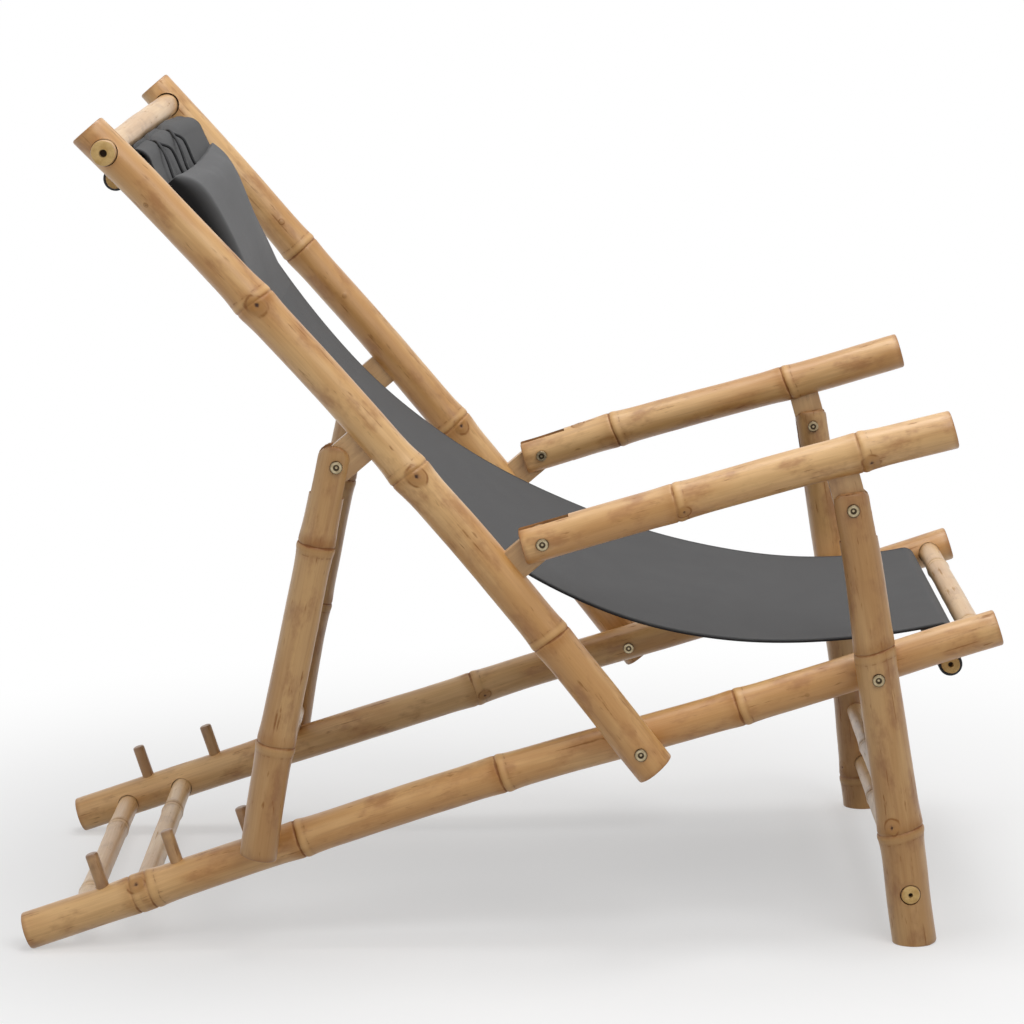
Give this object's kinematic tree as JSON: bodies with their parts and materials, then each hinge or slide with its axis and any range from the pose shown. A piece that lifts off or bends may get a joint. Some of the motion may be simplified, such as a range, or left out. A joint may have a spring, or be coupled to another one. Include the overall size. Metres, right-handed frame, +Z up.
{
  "type": "deck chair",
  "caption": "Folding bamboo deck chair with a grey canvas sling, armrests, head pillow and a peg-stopped rear prop.",
  "frame": {"origin": "on the ground, midway along the rails' overall length and midway between the two sides", "axes": "+X towards the front of the seat, +Y towards the sitter's left, +Z up"},
  "size_m": [1.034, 0.6022, 0.8787],
  "materials": {
    "bamboo": "satin lacquer",
    "pale_bamboo": "satin lacquer",
    "tongue_wood": "satin lacquer",
    "canvas": "woven canvas",
    "pillow_cloth": "woven canvas",
    "elastic": "braided elastic",
    "steel": "plated"
  },
  "bodies": {
    "base": {"rail_left": "bamboo", "rail_right": "bamboo", "recline_pegs_left": "pale_bamboo", "recline_pegs_right": "pale_bamboo", "rear_crossbar_outer": "pale_bamboo", "rear_crossbar_inner": "pale_bamboo", "front_crossbar": "pale_bamboo", "front_hem_rod": "pale_bamboo", "sling_seat": "canvas", "back_pivot_bolts": "steel", "back_pivot_nuts": "steel", "back_pivot_washers": "steel", "leg_pivot_bolts": "steel", "leg_pivot_nuts": "steel", "leg_pivot_washers": "steel"},
    "back": {"back_pole_left": "bamboo", "back_pole_right": "bamboo", "top_crossbar": "pale_bamboo", "top_hem_rod": "pale_bamboo", "arm_tongue_left": "tongue_wood", "arm_tongue_right": "tongue_wood", "prop_tongue_left": "tongue_wood", "prop_tongue_right": "tongue_wood", "sling_back": "canvas"},
    "pillow": {"head_pillow": "pillow_cloth", "pillow_cords": "elastic"},
    "armrests": {"armrest_left": "bamboo", "armrest_right": "bamboo", "leg_tongue_left": "tongue_wood", "leg_tongue_right": "tongue_wood", "arm_hinge_bolts": "steel", "arm_hinge_nuts": "steel"},
    "front_legs": {"front_leg_left": "bamboo", "front_leg_right": "bamboo", "upper_stretcher": "pale_bamboo", "lower_stretcher": "pale_bamboo", "leg_hinge_bolts": "steel", "leg_hinge_nuts": "steel"},
    "prop": {"prop_leg_left": "bamboo", "prop_leg_right": "bamboo", "prop_crossbar": "pale_bamboo", "prop_hinge_bolts": "steel", "prop_hinge_nuts": "steel"}
  },
  "joints": [
    {"name": "back_raise", "type": "hinge", "parent": "base", "child": "back", "pos_m": [0.13718, 0, 0.21023], "axis": [0, 1, 0], "range_deg": [0, 24]},
    {"name": "leg_swing", "type": "hinge", "parent": "base", "child": "front_legs", "pos_m": [0.38156, 0, 0.28309], "axis": [0, 1, 0], "range_deg": [0, 32.5]},
    {"name": "arm_swing", "type": "hinge", "parent": "back", "child": "armrests", "pos_m": [0.04075, 0, 0.43197], "axis": [0, 1, 0], "range_deg": [-18, 0]},
    {"name": "prop_swing", "type": "hinge", "parent": "back", "child": "prop", "pos_m": [-0.16618, 0, 0.5157], "axis": [0, 1, 0], "range_deg": [-45.7, 0]},
    {"name": "pillow_flip", "type": "hinge", "parent": "back", "child": "pillow", "pos_m": [-0.37016, 0, 0.83502], "axis": [0, -1, 0], "range_deg": [0, 42]}
  ],
  "couplings": [
    {"joint": "leg_swing", "follows": "back_raise", "ratio": 1.3503},
    {"joint": "arm_swing", "follows": "back_raise", "ratio": -0.7489},
    {"joint": "prop_swing", "follows": "back_raise", "ratio": -1.9}
  ]
}
